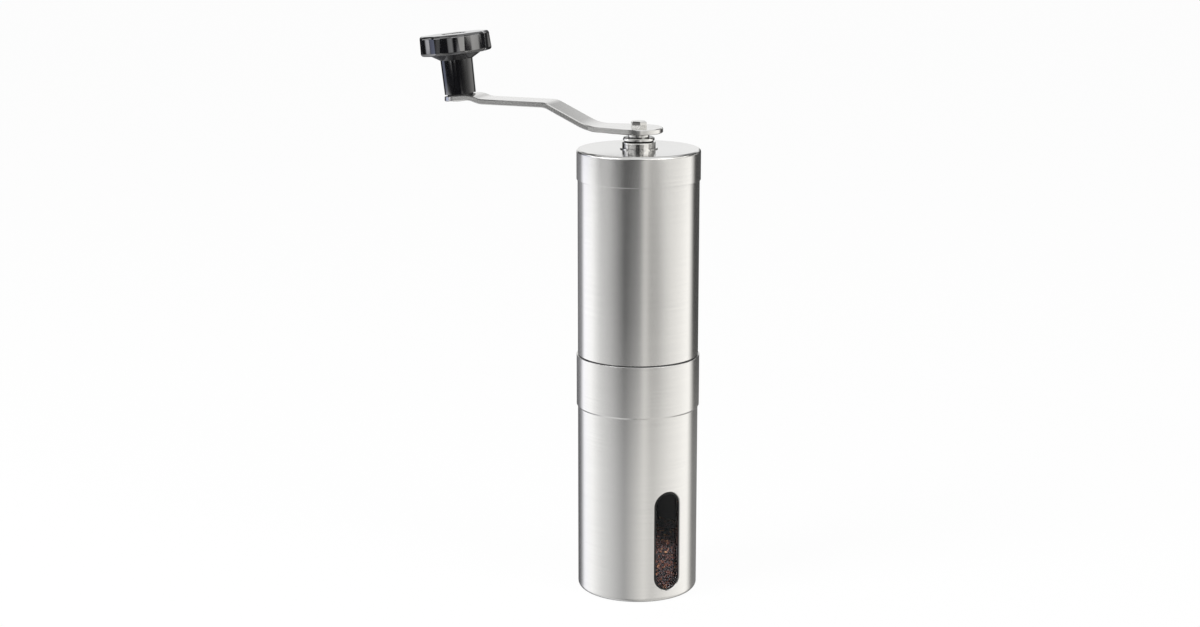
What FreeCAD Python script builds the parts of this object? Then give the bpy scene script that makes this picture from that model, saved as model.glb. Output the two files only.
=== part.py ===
"""Hand crank coffee grinder: two steel tubes, a lid, a crank with a black knob and a conical burr mill.

The origin is the centre of the base, +Z runs up the shaft, and the crank rests along -X.
Sizes are in millimetres and angles in degrees.
"""
import FreeCAD, Part
import math
import os
import re
import Sketcher

SIZES = {
    "tube_d": (46.0, "outside of the chamber and of the hopper"),
    "steel_wall": (0.8, "wall of the drawn steel pieces"),
    "chamber_height": (92.9, "base to the chamber's rim"),
    "collar_flare": (0.5, "how far the collar stands proud of the chamber"),
    "collar_height": (19.6, "height of the collar under the rim"),
    "collar_step": (0.7, "height of the slope under the collar"),
    "base_edge_r": (1.0, "inside radius of the chamber's lower edge"),
    "rim_r": (0.2, "rounding of the steel rims"),
    "hopper_height": (67.2, "hopper tube that shows between joint and lid"),
    "lid_height": (11.6, "lid, skirt and top"),
    "lid_overhang": (0.4, "how far the lid stands proud of the hopper"),
    "lid_clearance": (0.2, "lid skirt to hopper neck"),
    "lid_headroom": (0.8, "hopper neck to the lid's underside"),
    "lid_edge_r": (1.1, "rounding of the lid's upper edge"),
    "fit_gap": (0.05, "gap round pieces that are fixed to each other"),
    "running_gap": (0.05, "gap round shafts and pins that turn"),
    "slide_gap": (0.15, "gap round pieces that slide apart"),
    "window_width": (10.9, "slot in the chamber"),
    "window_height": (39.0, "slot in the chamber"),
    "window_bottom": (4.3, "base to the slot's lower end"),
    "window_bevel": (0.3, "slope round the slot"),
    "window_turn": (51.7, "slot from straight in front, round towards +X"),
    "seal_width": (0.55, "black seal round the pane"),
    "seal_inset": (0.25, "seal's face behind the tube's face"),
    "pane_inset": (0.45, "pane's face behind the tube's face"),
    "pane_wall": (1.2, "thickness of the pane"),
    "liner_wall": (1.0, "black cup inside the chamber"),
    "liner_gap": (7.1, "housing's spigot down to the black cup's rim"),
    "liner_edge": (1.4, "slope under the black cup's edge"),
    "grounds_height": (22.0, "ground coffee at the wall"),
    "heap_height": (3.0, "heap of the ground coffee over its edge"),
    "flange_wall": (0.3, "housing flange between the two tubes"),
    "flange_inset": (0.1, "flange's edge behind the tube's face"),
    "spigot_band": (10.0, "part of the spigot that fills the collar"),
    "ring_drop": (3.4, "chamber rim down to the outer burr"),
    "ring_d": (37.0, "outside of the outer burr"),
    "ring_height": (12.0, "outer burr"),
    "ring_bore_d": (32.4, "outer burr's bore at its lower face"),
    "taper_height": (6.0, "grinding zone of both burrs"),
    "burr_taper": (0.3, "radius lost per height in the grinding zone"),
    "grind_gap": (0.4, "gap between the burrs at this setting"),
    "throat_d": (31.0, "housing and outer burr above the grinding zone"),
    "throat_height": (2.0, "straight throat over the outer burr"),
    "retainer_height": (1.6, "ring under the outer burr"),
    "retainer_wall": (1.5, "ring under the outer burr"),
    "funnel_lip": (1.2, "housing wall at the funnel's top"),
    "cone_height": (20.0, "inner burr"),
    "cone_below": (1.0, "inner burr below the outer burr"),
    "cone_top_d": (18.4, "inner burr at its top"),
    "tooth_width": (1.5, "grooves of both burrs"),
    "tooth_depth": (0.9, "grooves of both burrs"),
    "feed_width": (4.0, "wide grooves of the inner burr"),
    "feed_depth": (1.6, "wide grooves of the inner burr"),
    "core_d": (14.0, "core of the inner burr"),
    "core_recess": (2.5, "core's top under the inner burr's top"),
    "pocket_d": (11.0, "spring pocket in the core"),
    "pocket_depth": (6.0, "spring pocket in the core"),
    "burr_headroom": (3.0, "inner burr to the bearing hub"),
    "hub_d": (14.0, "bearing hubs"),
    "hub_height": (7.0, "lower bearing hub"),
    "bush_wall": (1.4, "bearing bushes"),
    "spider_width": (5.0, "arms of the lower hub"),
    "spider_height": (5.0, "arms of the lower hub"),
    "spider_cover": (0.8, "housing above the arms"),
    "bridge_lift": (46.0, "flange to the upper bridge"),
    "bridge_height": (5.0, "upper bridge"),
    "bridge_width": (6.0, "arms of the upper bridge"),
    "bridge_wall": (1.5, "ring of the upper bridge"),
    "shaft_d": (8.0, "round part of the shaft"),
    "shaft_below": (1.5, "round part of the shaft below the hub"),
    "drive_af": (6.0, "hexagon that drives the inner burr, across flats"),
    "drive_below": (1.5, "that hexagon below the inner burr"),
    "thread_d": (5.0, "threaded end of the shaft"),
    "thread_tail": (3.0, "threaded end below the dial"),
    "head_af": (5.5, "hexagon that the crank sits on, across flats"),
    "head_above": (2.3, "that hexagon above the crank"),
    "head_edge": (0.4, "slope round the hexagon's top"),
    "washer_wall": (0.6, "flat washers"),
    "washer_d": (12.5, "flat washers"),
    "clip_wall": (0.7, "spring clip on the shaft"),
    "clip_d": (12.0, "spring clip on the shaft"),
    "clip_depth": (0.6, "groove for the spring clip"),
    "clip_mouth": (5.6, "opening of the spring clip"),
    "wire_d": (0.8, "burr spring"),
    "coil_d": (9.4, "burr spring, middle of its wire"),
    "coil_pitch": (2.2, "burr spring"),
    "dial_d": (24.0, "grind dial"),
    "dial_height": (8.0, "grind dial without its boss"),
    "boss_height": (1.5, "boss on the dial"),
    "boss_wall": (1.3, "boss on the dial"),
    "nut_af": (9.0, "brass nut in the dial, across flats"),
    "nut_height": (5.0, "brass nut in the dial"),
    "nut_cover": (1.5, "dial below its nut"),
    "scallop_r": (3.2, "finger scallops of the dial"),
    "scallop_depth": (1.3, "finger scallops of the dial"),
    "dial_edge_r": (0.7, "rounding of the dial"),
    "lip_d": (14.3, "lid bush, lip on the lid"),
    "lip_height": (0.4, "lid bush, lip on the lid"),
    "barrel_d": (12.7, "lid bush, barrel"),
    "barrel_height": (2.3, "lid bush, barrel"),
    "groove_d": (10.8, "lid bush, groove"),
    "groove_height": (0.5, "lid bush, groove"),
    "crown_d": (11.9, "lid bush, top ring"),
    "crown_height": (1.1, "lid bush, top ring"),
    "barrel_r": (0.5, "rounding of the lid bush"),
    "tail_d": (10.2, "lid bush, tail through the lid"),
    "tail_height": (1.8, "lid bush, tail under the lid"),
    "tail_ring_d": (16.0, "ring that holds the lid bush"),
    "tail_ring_wall": (1.0, "ring that holds the lid bush"),
    "plug_wall": (1.6, "plastic ring in the lid"),
    "plug_height": (6.0, "plastic ring in the lid"),
    "crank_gap": (1.7, "lid bush to the crank"),
    "arm_wall": (2.0, "thickness of the crank arm"),
    "arm_width": (12.4, "crank arm"),
    "arm_hub_d": (18.2, "round end of the crank arm on the shaft"),
    "lower_bend": (18.0, "shaft axis to the first bend"),
    "slope_run": (17.6, "first bend to second bend"),
    "arm_rise": (8.2, "first bend to second bend, upwards"),
    "lower_bend_r": (18.0, "inside radius of the first bend"),
    "upper_bend_r": (6.0, "inside radius of the second bend"),
    "crank_radius": (73.7, "shaft axis to knob axis"),
    "crest_back": (6.2, "knob axis back to the crest of the end pad"),
    "crest_run": (4.5, "length of the small rise before the crest"),
    "crest_rise": (1.4, "height of the small rise"),
    "crest_bend_r": (8.0, "inside radius of the small bends"),
    "arm_edge": (0.3, "slope along the arm's edges"),
    "knob_lean": (6.5, "knob axis from upright, outwards"),
    "pin_d": (5.0, "knob pin"),
    "pin_head_d": (7.0, "flat rivet head under the arm"),
    "pin_head_height": (0.4, "flat rivet head under the arm"),
    "pin_head_r": (0.25, "rounding of the rivet head"),
    "pin_above": (1.0, "pin above its nut"),
    "pin_nut_d": (8.6, "push-on nut in the knob"),
    "pin_nut_wall": (1.0, "push-on nut in the knob"),
    "knob_play": (0.1, "knob to its nut"),
    "foot_washer_d": (10.0, "washer under the knob"),
    "foot_washer_wall": (0.5, "washer under the knob"),
    "stem_d": (12.1, "knob stem at its foot"),
    "stem_top_d": (12.5, "knob stem under the head"),
    "stem_length": (13.1, "knob stem"),
    "skirt_d": (19.4, "cone under the knob head"),
    "skirt_height": (2.0, "cone under the knob head"),
    "under_height": (0.5, "slope from the cone out to the rim"),
    "knob_d": (28.0, "knob head at its lower rim"),
    "knob_top_d": (27.1, "knob head at its upper rim"),
    "knob_height": (7.4, "knob head"),
    "knob_edge_r": (1.1, "rounding of the knob head"),
    "flute_r": (12.0, "flutes round the knob head"),
    "flute_depth": (1.3, "flutes round the knob head"),
    "flute_turn": (7.0, "first flute from +X"),
    "cap_d": (9.4, "plug in the knob's top"),
    "cap_wall": (1.2, "plug in the knob's top"),
    "cap_inset": (0.15, "plug below the knob's top"),
    "cap_gap": (0.35, "plug above the pin"),
}
KNOB_FLUTE_COUNT = 9
DIAL_SCALLOP_COUNT = 8
SPIDER_ARM_COUNT = 3
FINE_TOOTH_COUNT = 24
FEED_GROOVE_COUNT = 6
TOOTH_SLANT = 0.3
TOUCH = 0.001

# Formulas of the sheet's sizes, named for what they give
TUBE_R = "(tube_d / 2)"
BORE_R = "(tube_d / 2 - steel_wall)"
COLLAR_R = "(tube_d / 2 + collar_flare)"
COLLAR_BORE_R = "(tube_d / 2 + collar_flare - steel_wall)"
STEP_TOP = "(chamber_height - collar_height)"
STEP_LOW = "(chamber_height - collar_height - collar_step)"
FLANGE_TOP = "(chamber_height + flange_wall)"
LID_LOW = f"({FLANGE_TOP} + hopper_height)"
LID_TOP = f"({LID_LOW} + lid_height)"
LID_UNDER = f"({LID_TOP} - steel_wall)"
LID_R = "(tube_d / 2 + lid_overhang)"
LID_BORE_R = f"({LID_R} - steel_wall)"
NECK_R = f"({LID_BORE_R} - lid_clearance)"
NECK_BORE_R = f"({NECK_R} - steel_wall)"
NECK_TOP = f"({LID_UNDER} - lid_headroom)"
LINER_R = f"({BORE_R} - fit_gap)"
LINER_BORE_R = f"({LINER_R} - liner_wall)"
LINER_FLOOR = "(steel_wall + liner_wall)"
SLOT_LOW = "window_bottom"
SLOT_TOP = "(window_bottom + window_height)"
RING_TOP = "(chamber_height - ring_drop)"
RING_LOW = f"({RING_TOP} - ring_height)"
WAIST = f"({RING_LOW} + taper_height)"
WAIST_R = "(ring_bore_d / 2 - burr_taper * taper_height)"
SPIGOT_LOW = f"({RING_LOW} - retainer_height)"
SPIGOT_R = f"({BORE_R} - slide_gap)"
BAND_LOW = "(chamber_height - spigot_band)"
BAND_R = f"({COLLAR_BORE_R} - slide_gap)"
SLEEVE_R = f"({BORE_R} - fit_gap)"
FLANGE_R = f"({TUBE_R} - flange_inset)"
THROAT_R = "(throat_d / 2)"
RING_SEAT_R = "(ring_d / 2 + fit_gap)"
CONE_LOW = f"({RING_LOW} - cone_below)"
CONE_TOP = f"({CONE_LOW} + cone_height)"
CONE_LOW_R = "(ring_bore_d / 2 - grind_gap + burr_taper * cone_below)"
CONE_WAIST_R = f"({WAIST_R} - grind_gap)"
CORE_TOP = f"({CONE_TOP} - core_recess)"
POCKET_FLOOR = f"({CORE_TOP} - pocket_depth)"
HUB_LOW = f"({CONE_TOP} + burr_headroom)"
HUB_TOP = f"({HUB_LOW} + hub_height)"
SPIDER_TOP = f"({HUB_LOW} + spider_height)"
SLEEVE_TOP = f"({SPIDER_TOP} + spider_cover)"
SHAFT_R = "(shaft_d / 2)"
SHAFT_BORE_R = "(shaft_d / 2 + running_gap)"
BUSH_R = f"({SHAFT_BORE_R} + bush_wall)"
BRIDGE_LOW = f"({FLANGE_TOP} + bridge_lift)"
BRIDGE_TOP = f"({BRIDGE_LOW} + bridge_height)"
CLIP_LOW = f"({HUB_TOP} + washer_wall + fit_gap)"
SHAFT_LOW = f"({HUB_LOW} - shaft_below)"
DRIVE_LOW = f"({CONE_LOW} - drive_below)"
DIAL_TOP = f"({CONE_LOW} - boss_height)"
DIAL_LOW = f"({DIAL_TOP} - dial_height)"
NUT_LOW = f"({DIAL_LOW} + nut_cover)"
THREAD_LOW = f"({DIAL_LOW} - thread_tail)"
BARREL_TOP = f"({LID_TOP} + lip_height + barrel_height)"
CROWN_LOW = f"({BARREL_TOP} + groove_height)"
BUSH_TOP = f"({CROWN_LOW} + crown_height)"
SEAT = f"({BUSH_TOP} + crank_gap)"
ARM_TOP = f"({SEAT} + arm_wall)"
UPPER_BEND = "(lower_bend + slope_run)"
OUTER_TOP = f"({ARM_TOP} + arm_rise)"
CREST = "(crank_radius - crest_back)"
CREST_TOP = f"({OUTER_TOP} + crest_rise)"
PAD_TOP = f"({CREST_TOP} - crest_back * tan(knob_lean))"
KNOB_FOOT = "foot_washer_wall"
SKIRT_LOW = f"({KNOB_FOOT} + stem_length)"
UNDER_LOW = f"({SKIRT_LOW} + skirt_height)"
HEAD_LOW = f"({UNDER_LOW} + under_height)"
HEAD_TOP = f"({HEAD_LOW} + knob_height)"
CAP_TOP = f"({HEAD_TOP} - cap_inset)"
CAP_LOW = f"({CAP_TOP} - cap_wall)"
PIN_TOP = f"({CAP_LOW} - cap_gap)"
PIN_NUT_LOW = f"({PIN_TOP} - pin_above - pin_nut_wall)"
WELL_FLOOR = f"({PIN_NUT_LOW} - knob_play)"
PIN_R = "(pin_d / 2)"

vector = FreeCAD.Vector
doc = FreeCAD.newDocument("CoffeeGrinder")
sheet = doc.addObject("Spreadsheet::Sheet", "Sizes")
for row, (name, (size, meaning)) in enumerate(SIZES.items(), 1):
    sheet.set(f"A{row}", meaning)
    sheet.set(f"B{row}", str(size))
    sheet.setAlias(f"B{row}", name)
doc.recompute()
pieces = []


def bound(formula):
    """The formula with each size's name as its cell of the sheet."""
    return re.sub(r"[a-z]\w*", lambda word: f"Sizes.{word[0]}" if word[0] in SIZES else word[0], formula)


def number(formula):
    """What a formula gives at the sheet's present sizes."""
    found = sheet.evalExpression(formula)
    return float(getattr(found, "Value", found))


def minus(formula):
    """The formula with its sign turned."""
    return f"(0 - {formula})"


def piece(label, made):
    """Names a finished object as one of the grinder's pieces."""
    made.Label = label
    pieces.append(made)
    return made


def new_body(label):
    """An empty body, named as the piece that it becomes."""
    return piece(label, doc.addObject("PartDesign::Body", label.title().replace("_", "")))


def new_sketch(body, role, height=None):
    """A sketch on one of the body's own planes, raised by a formula."""
    sketch = body.newObject("Sketcher::SketchObject", f"{body.Name}Sketch")
    plane = next(item for item in body.Origin.OriginFeatures if item.Role == role)
    sketch.AttachmentSupport = (plane, [""])
    sketch.MapMode = "FlatFace"
    if height:
        sketch.setExpression("AttachmentOffset.Base.z", bound(height))
    return sketch


def hold(sketch, formula, kind, *where):
    """A dimension of the sketch, bound to a formula."""
    index = sketch.addConstraint(Sketcher.Constraint(kind, *where, number(formula)))
    sketch.setExpression(f"Constraints[{index}]", bound(formula))


def hold_point(sketch, formulas, edge, end):
    """Holds a point of an edge at two formulas from the origin."""
    for kind, axis, formula in zip(("DistanceX", "DistanceY"), (-2, -1), formulas):
        if formula == "0":
            sketch.addConstraint(Sketcher.Constraint("PointOnObject", edge, end, axis))
        else:
            hold(sketch, formula, kind, -1, 1, edge, end)


def draw_outline(sketch, corners):
    """A closed outline of straight sides through corners given as formulas."""
    points = [vector(number(across), number(up), 0) for across, up in corners]
    first = sketch.GeometryCount
    count = len(corners)
    for start, end in zip(points, points[1:] + points[:1]):
        sketch.addGeometry(Part.LineSegment(start, end), False)
    for side in range(count):
        sketch.addConstraint(Sketcher.Constraint("Coincident", first + side, 2, first + (side + 1) % count, 1))
    for side, corner in enumerate(corners):
        hold_point(sketch, corner, first + side, 1)


def draw_rectangle(sketch, left, right, low, high):
    """A rectangle between four formulas."""
    draw_outline(sketch, [(left, low), (right, low), (right, high), (left, high)])


def draw_hexagon(sketch, flats):
    """A hexagon about the origin, its width across flats along Y."""
    corner = f"({flats} / sqrt(3))"
    half_side = f"({corner} / 2)"
    flat = f"({flats} / 2)"
    draw_outline(sketch, [
        (corner, "0"), (half_side, flat), (minus(half_side), flat),
        (minus(corner), "0"), (minus(half_side), minus(flat)), (half_side, minus(flat)),
    ])


def draw_circle(sketch, radius, across="0", up="0"):
    """A circle at two formulas from the origin."""
    middle = vector(number(across), number(up), 0)
    circle = sketch.addGeometry(Part.Circle(middle, vector(0, 0, 1), number(radius)), False)
    hold_point(sketch, (across, up), circle, 3)
    hold(sketch, radius, "Radius", circle)


def draw_slot(sketch, width, low, high):
    """An upright slot with round ends on the sketch's vertical axis."""
    radius = f"({width} / 2)"
    upper = f"({high} - {radius})"
    lower = f"({low} + {radius})"
    reach, top, bottom = number(radius), number(upper), number(lower)
    arcs = ((top, 0, math.pi), (bottom, math.pi, 2 * math.pi))
    above, below = [
        sketch.addGeometry(Part.ArcOfCircle(Part.Circle(vector(0, up, 0), vector(0, 0, 1), reach), *turn), False)
        for up, *turn in arcs
    ]
    left = sketch.addGeometry(Part.LineSegment(vector(-reach, top, 0), vector(-reach, bottom, 0)), False)
    right = sketch.addGeometry(Part.LineSegment(vector(reach, bottom, 0), vector(reach, top, 0)), False)
    for edge, follower in ((above, left), (left, below), (below, right), (right, above)):
        sketch.addConstraint(Sketcher.Constraint("Tangent", edge, 2, follower, 1))
    hold_point(sketch, ("0", upper), above, 3)
    hold_point(sketch, ("0", lower), below, 3)
    hold(sketch, radius, "Radius", above)


def turned(label, corners):
    """A body turned about Z from an outline of (radius, height) formulas."""
    body = new_body(label)
    sketch = new_sketch(body, "XZ_Plane")
    draw_outline(sketch, corners)
    turning = body.newObject("PartDesign::Revolution", f"{body.Name}Turning")
    turning.Profile = sketch
    turning.ReferenceAxis = (sketch, ["V_Axis"])
    turning.Angle = 360
    doc.recompute()
    return body


def ring(label, inner, outer, low, high):
    """A plain ring or sleeve about Z."""
    return turned(label, [(inner, low), (outer, low), (outer, high), (inner, high)])


def pad(body, sketch, length, midplane=False):
    """Thickens a sketch by a formula."""
    block = body.newObject("PartDesign::Pad", f"{body.Name}Pad")
    block.Profile = sketch
    block.Midplane = midplane
    block.setExpression("Length", bound(length))
    doc.recompute()
    return block


def pocket(body, sketch, length=None, both_ways=False, upwards=False, slant=None):
    """Cuts a sketch away: right through, or to a depth given by a formula, or along a slanted direction."""
    before = body.Shape.Volume
    cut = body.newObject("PartDesign::Pocket", f"{body.Name}Pocket")
    cut.Profile = sketch
    cut.Midplane = both_ways
    cut.Reversed = upwards
    if slant:
        cut.UseCustomVector = True
        cut.Direction = slant
    if length:
        cut.setExpression("Length", bound(length))
    else:
        cut.Type = "ThroughAll"
    doc.recompute()
    if not body.Shape.Volume < before:
        raise RuntimeError(f"{body.Label}: a cut removed nothing")
    return cut


def around(body, feature, sketch, count):
    """Repeats a feature evenly round Z."""
    pattern = body.newObject("PartDesign::PolarPattern", f"{body.Name}Pattern")
    pattern.Originals = [feature]
    pattern.Axis = (sketch, ["N_Axis"])
    pattern.Angle = 360
    pattern.Occurrences = count
    body.Tip = pattern
    doc.recompute()
    return pattern


def round_where(body, size, chosen, kind="Fillet", property_name="Radius"):
    """Rounds, or bevels, the edges that a test chooses."""
    base = body.Tip
    names = [f"Edge{index}" for index, edge in enumerate(base.Shape.Edges, 1) if chosen(edge)]
    if not names:
        raise RuntimeError(f"{body.Label}: no edge to round")
    rounding = body.newObject(f"PartDesign::{kind}", f"{body.Name}{kind}")
    rounding.Base = (base, names)
    rounding.setExpression(property_name, bound(size))
    doc.recompute()
    if rounding.Shape.isNull():
        raise RuntimeError(f"{body.Label}: edges can't be rounded by {size}")


def bevel_where(body, size, chosen):
    """Bevels the edges that a test chooses."""
    round_where(body, size, chosen, "Chamfer", "Size")


def round_rims(body, size, *rims):
    """Rounds the circles about Z at the given (radius, height) formulas."""
    places = [(number(radius), number(height)) for radius, height in rims]

    def is_rim(edge):
        if not isinstance(edge.Curve, Part.Circle):
            return False
        middle = edge.Curve.Center
        return any(
            math.hypot(middle.x, middle.y) < TOUCH
            and abs(edge.Curve.Radius - radius) < TOUCH
            and abs(middle.z - height) < TOUCH
            for radius, height in places
        )

    round_where(body, size, is_rim)


def ends(edge):
    """The distances of an edge's ends and middle from the Z axis."""
    low, high = edge.ParameterRange
    points = [edge.valueAt(low + (high - low) * part) for part in (0.0, 0.5, 1.0)]
    return [math.hypot(point.x, point.y) for point in points]


def turn_about(made, axis, angle):
    """Turns a finished piece about an axis through its origin by a formula in degrees."""
    made.Placement = FreeCAD.Placement(vector(), FreeCAD.Rotation(axis, 1))
    made.setExpression("Placement.Rotation.Angle", f"{bound(angle)} * 1 deg")


def face_window(made):
    """Turns a piece of the chamber so that the slot faces its real direction."""
    turn_about(made, vector(0, 0, 1), "window_turn")


def stand_on_pad(made):
    """Sets a piece of the knob on the crank's end pad, leaning with it."""
    turn_about(made, vector(0, -1, 0), "knob_lean")
    made.setExpression("Placement.Base.x", bound(minus("crank_radius")))
    made.setExpression("Placement.Base.z", bound(PAD_TOP))


def cut_slot(body):
    """Cuts the window's slot through the front wall."""
    sketch = new_sketch(body, "XZ_Plane")
    draw_slot(sketch, "window_width", SLOT_LOW, SLOT_TOP)
    pocket(body, sketch, TUBE_R, upwards=True)


def make_chamber_shell():
    """Drawn steel cup with an expanded collar and the window's slot."""
    body = turned("chamber_shell", [
        ("0", "0"), (TUBE_R, "0"), (TUBE_R, STEP_LOW), (COLLAR_R, STEP_TOP),
        (COLLAR_R, "chamber_height"), (COLLAR_BORE_R, "chamber_height"),
        (COLLAR_BORE_R, STEP_TOP), (BORE_R, STEP_LOW), (BORE_R, "steel_wall"), ("0", "steel_wall"),
    ])
    round_rims(body, "(base_edge_r + steel_wall)", (TUBE_R, "0"))
    round_rims(body, "base_edge_r", (BORE_R, "steel_wall"))
    round_rims(body, "rim_r", (COLLAR_R, "chamber_height"))
    cut_slot(body)
    low, high = number(SLOT_LOW), number(SLOT_TOP)

    def is_slot_edge(edge):
        box = edge.BoundBox
        outside = all(abs(radius - number(TUBE_R)) < TOUCH for radius in ends(edge))
        return outside and box.ZMin > low - TOUCH and box.ZMax < high + TOUCH

    bevel_where(body, "window_bevel", is_slot_edge)
    face_window(body)


def make_chamber_liner():
    """Black plastic cup that lines the chamber and carries the window's seal."""
    top = f"({SPIGOT_LOW} - liner_gap)"
    body = turned("chamber_liner", [
        ("0", "steel_wall"), (f"({LINER_R} - liner_edge)", "steel_wall"),
        (LINER_R, "(steel_wall + liner_edge)"), (LINER_R, top), (LINER_BORE_R, top),
        (LINER_BORE_R, LINER_FLOOR), ("0", LINER_FLOOR),
    ])
    cut_slot(body)
    face_window(body)


def curved_slot(label, outer_inset, inner_inset, inner, outer):
    """A slot-shaped piece bent round Z between two radii, with an opening if it has an inner inset."""
    body = new_body(label)
    sketch = new_sketch(body, "XZ_Plane")
    for inset in (outer_inset, inner_inset):
        if inset:
            draw_slot(sketch, f"(window_width - 2 * {inset})", f"({SLOT_LOW} + {inset})", f"({SLOT_TOP} - {inset})")
    pad(body, sketch, TUBE_R)
    within = new_sketch(body, "XY_Plane")
    draw_circle(within, inner)
    pocket(body, within, both_ways=True)
    beyond = new_sketch(body, "XY_Plane")
    draw_circle(beyond, outer)
    draw_circle(beyond, "tube_d")
    pocket(body, beyond, both_ways=True)
    face_window(body)


def make_window():
    """Clear pane and the black seal round it."""
    curved_slot("window_seal", "fit_gap", "seal_width", LINER_BORE_R, f"({TUBE_R} - seal_inset)")
    face = f"({TUBE_R} - pane_inset)"
    curved_slot("window_pane", "(seal_width + fit_gap)", None, f"({face} - pane_wall)", face)


def make_coffee_grounds():
    """Ground coffee in the chamber, heaped in the middle."""
    wall = f"({LINER_BORE_R} - fit_gap)"
    body = turned("coffee_grounds", [
        ("0", LINER_FLOOR), (wall, LINER_FLOOR), (wall, "grounds_height"),
        ("0", "(grounds_height + heap_height)"),
    ])
    face_window(body)


def make_hopper_tube():
    """Steel tube with a drawn-in neck that the lid slips over."""
    body = turned("hopper_tube", [
        (BORE_R, FLANGE_TOP), (TUBE_R, FLANGE_TOP), (TUBE_R, LID_LOW), (NECK_R, LID_LOW),
        (NECK_R, NECK_TOP), (NECK_BORE_R, NECK_TOP), (NECK_BORE_R, f"({LID_LOW} - steel_wall)"),
        (BORE_R, f"({LID_LOW} - steel_wall)"),
    ])
    round_rims(body, "rim_r", (TUBE_R, FLANGE_TOP), (NECK_R, NECK_TOP), (NECK_BORE_R, NECK_TOP))


def make_burr_housing():
    """Black plastic housing: spigot for the chamber, flange, funnel and bearing hub on three arms."""
    body = turned("burr_housing", [
        (RING_SEAT_R, SPIGOT_LOW), (SPIGOT_R, SPIGOT_LOW), (SPIGOT_R, BAND_LOW), (BAND_R, BAND_LOW),
        (BAND_R, "chamber_height"), (FLANGE_R, "chamber_height"), (FLANGE_R, FLANGE_TOP),
        (SLEEVE_R, FLANGE_TOP), (SLEEVE_R, SLEEVE_TOP), (f"({SLEEVE_R} - funnel_lip)", SLEEVE_TOP),
        (THROAT_R, f"({RING_TOP} + throat_height)"), (THROAT_R, RING_TOP), (RING_SEAT_R, RING_TOP),
    ])
    arm = new_sketch(body, "XY_Plane", HUB_LOW)
    draw_rectangle(arm, "0", f"({SLEEVE_R} - funnel_lip / 2)", minus("spider_width / 2"), "(spider_width / 2)")
    around(body, pad(body, arm, "spider_height"), arm, SPIDER_ARM_COUNT)
    hub = new_sketch(body, "XY_Plane", HUB_LOW)
    draw_circle(hub, "(hub_d / 2)")
    pad(body, hub, "hub_height")
    bore = new_sketch(body, "XY_Plane", HUB_LOW)
    draw_circle(bore, f"({BUSH_R} + fit_gap)")
    pocket(body, bore, both_ways=True)


def make_outer_burr():
    """Ceramic ring whose bore narrows to a waist above the grinding zone."""
    body = turned("outer_burr", [
        ("(ring_bore_d / 2)", RING_LOW), ("(ring_d / 2)", RING_LOW), ("(ring_d / 2)", RING_TOP),
        (THROAT_R, RING_TOP), (WAIST_R, WAIST),
    ])
    groove = new_sketch(body, "XY_Plane", RING_LOW)
    draw_rectangle(groove, f"({WAIST_R} / 2)", "(ring_bore_d / 2 + tooth_depth)",
                   minus("tooth_width / 2"), "(tooth_width / 2)")
    around(body, pocket(body, groove, slant=vector(0, TOOTH_SLANT, 1)), groove, FINE_TOOTH_COUNT)
    ring("burr_retainer", "(ring_d / 2 - retainer_wall)", "(ring_d / 2)", SPIGOT_LOW, RING_LOW)


def make_bearings():
    """Bridge across the hopper, and the two bushes that the shaft turns in."""
    ring("lower_bush", SHAFT_BORE_R, BUSH_R, HUB_LOW, HUB_TOP)
    body = ring("shaft_bridge", f"({SLEEVE_R} - bridge_wall)", SLEEVE_R, BRIDGE_LOW, BRIDGE_TOP)
    bar = new_sketch(body, "XY_Plane", BRIDGE_LOW)
    reach = f"({SLEEVE_R} - bridge_wall / 2)"
    draw_rectangle(bar, minus(reach), reach, minus("bridge_width / 2"), "(bridge_width / 2)")
    pad(body, bar, "bridge_height")
    hub = new_sketch(body, "XY_Plane", BRIDGE_LOW)
    draw_circle(hub, "(hub_d / 2)")
    pad(body, hub, "bridge_height")
    bore = new_sketch(body, "XY_Plane", BRIDGE_LOW)
    draw_circle(bore, f"({BUSH_R} + fit_gap)")
    pocket(body, bore, both_ways=True)
    ring("upper_bush", SHAFT_BORE_R, BUSH_R, BRIDGE_LOW, BRIDGE_TOP)


def make_drive_shaft():
    """Steel shaft: hexagon for the crank, round part, hexagon for the burr and threaded end."""
    groove_r = f"({SHAFT_R} - clip_depth)"
    groove_low = f"({CLIP_LOW} - fit_gap)"
    groove_top = f"({CLIP_LOW} + clip_wall + fit_gap)"
    body = turned("drive_shaft", [
        ("0", SHAFT_LOW), (SHAFT_R, SHAFT_LOW), (SHAFT_R, groove_low), (groove_r, groove_low),
        (groove_r, groove_top), (SHAFT_R, groove_top), (SHAFT_R, SEAT), ("0", SEAT),
    ])
    drive = new_sketch(body, "XY_Plane", DRIVE_LOW)
    draw_hexagon(drive, "drive_af")
    pad(body, drive, f"({SHAFT_LOW} - {DRIVE_LOW})")
    thread = new_sketch(body, "XY_Plane", THREAD_LOW)
    draw_circle(thread, "(thread_d / 2)")
    pad(body, thread, f"({DRIVE_LOW} - {THREAD_LOW})")
    head = new_sketch(body, "XY_Plane", SEAT)
    draw_hexagon(head, "head_af")
    pad(body, head, "(arm_wall + head_above)")
    top = number(f"{ARM_TOP} + head_above")
    bevel_where(body, "head_edge", lambda edge: edge.BoundBox.ZMin > top - TOUCH)


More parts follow.
